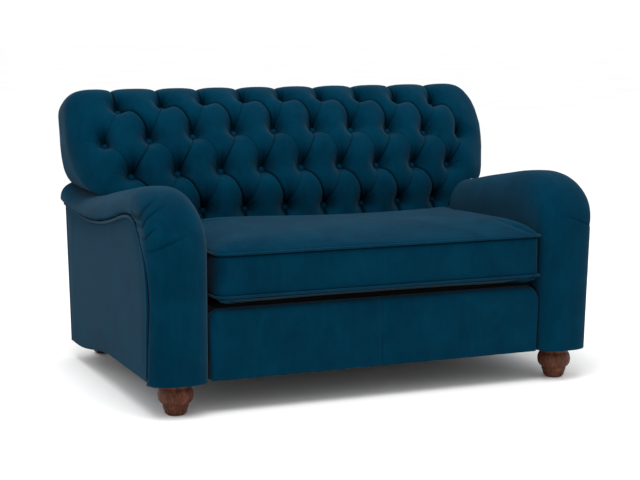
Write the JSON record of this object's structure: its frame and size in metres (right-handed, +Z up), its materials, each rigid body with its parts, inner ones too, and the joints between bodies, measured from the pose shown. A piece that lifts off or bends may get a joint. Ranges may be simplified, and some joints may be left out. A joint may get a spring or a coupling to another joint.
{
  "type": "two-seat sofa",
  "caption": "Two-seat velvet sofa with a deep-buttoned back set over rolled arms, a loose boxed seat cushion, turned wooden front feet and block rear feet",
  "frame": {"origin": "on the floor, under the middle of the sofa's outer width and depth", "axes": "+X towards the right as seen from the front, +Y towards the back, +Z up; the sofa faces -Y"},
  "size_m": [1.47, 0.984, 0.8767],
  "materials": {
    "velvet": "deep teal-blue velvet",
    "lining": "black woven lining",
    "foam": "upholstery foam",
    "nylon": "black nylon",
    "beech": "sawn beech",
    "plywood": "birch plywood",
    "steel": "zinc-plated steel",
    "elastic": "elastic webbing",
    "walnut_stain": "turned hardwood, walnut stain, satin",
    "dark_stain": "hardwood block, dark stain"
  },
  "bodies": {
    "frame": {"left_arm_pad": "velvet", "right_arm_pad": "velvet", "left_side_panel": "velvet", "right_side_panel": "velvet", "left_arm_piping": "velvet", "right_arm_piping": "velvet", "back_pad": "velvet", "outside_back": "velvet", "front_border": "velvet", "seat_deck": "lining", "dust_cover": "lining", "left_front_glide": "nylon", "right_front_glide": "nylon", "left_rear_glide": "nylon", "right_rear_glide": "nylon", "front_rail": "beech", "rear_seat_rail": "beech", "rear_base_rail": "beech", "centre_rail": "beech", "back_top_rail": "beech", "back_middle_rail": "beech", "left_side_rail": "beech", "right_side_rail": "beech", "left_arm_rail": "beech", "right_arm_rail": "beech", "left_back_post": "beech", "right_back_post": "beech", "left_front_corner_block": "beech", "right_front_corner_block": "beech", "left_rear_corner_block": "beech", "right_rear_corner_block": "beech", "left_arm_front_board": "plywood", "right_arm_front_board": "plywood", "seat_spring_1": "steel", "seat_spring_2": "steel", "seat_spring_3": "steel", "seat_spring_4": "steel", "seat_spring_5": "steel", "seat_spring_6": "steel", "left_front_foot_bolt": "steel", "left_front_tee_nut": "steel", "right_front_foot_bolt": "steel", "right_front_tee_nut": "steel", "left_rear_foot_bolt": "steel", "left_rear_tee_nut": "steel", "right_rear_foot_bolt": "steel", "right_rear_tee_nut": "steel", "back_strap_1": "elastic", "back_strap_2": "elastic", "back_strap_3": "elastic", "left_front_foot": "walnut_stain", "right_front_foot": "walnut_stain", "left_rear_foot": "dark_stain", "right_rear_foot": "dark_stain"},
    "seat_cushion": {"cushion_cover": "velvet", "cushion_core": "foam", "cushion_zip": "nylon", "cushion_top_piping": "velvet", "cushion_bottom_piping": "velvet"}
  },
  "joints": [
    {"name": "seat_cushion_lift", "type": "slide", "parent": "frame", "child": "seat_cushion", "axis": [0, 0, 1], "range_m": [0, 0.34]}
  ]
}
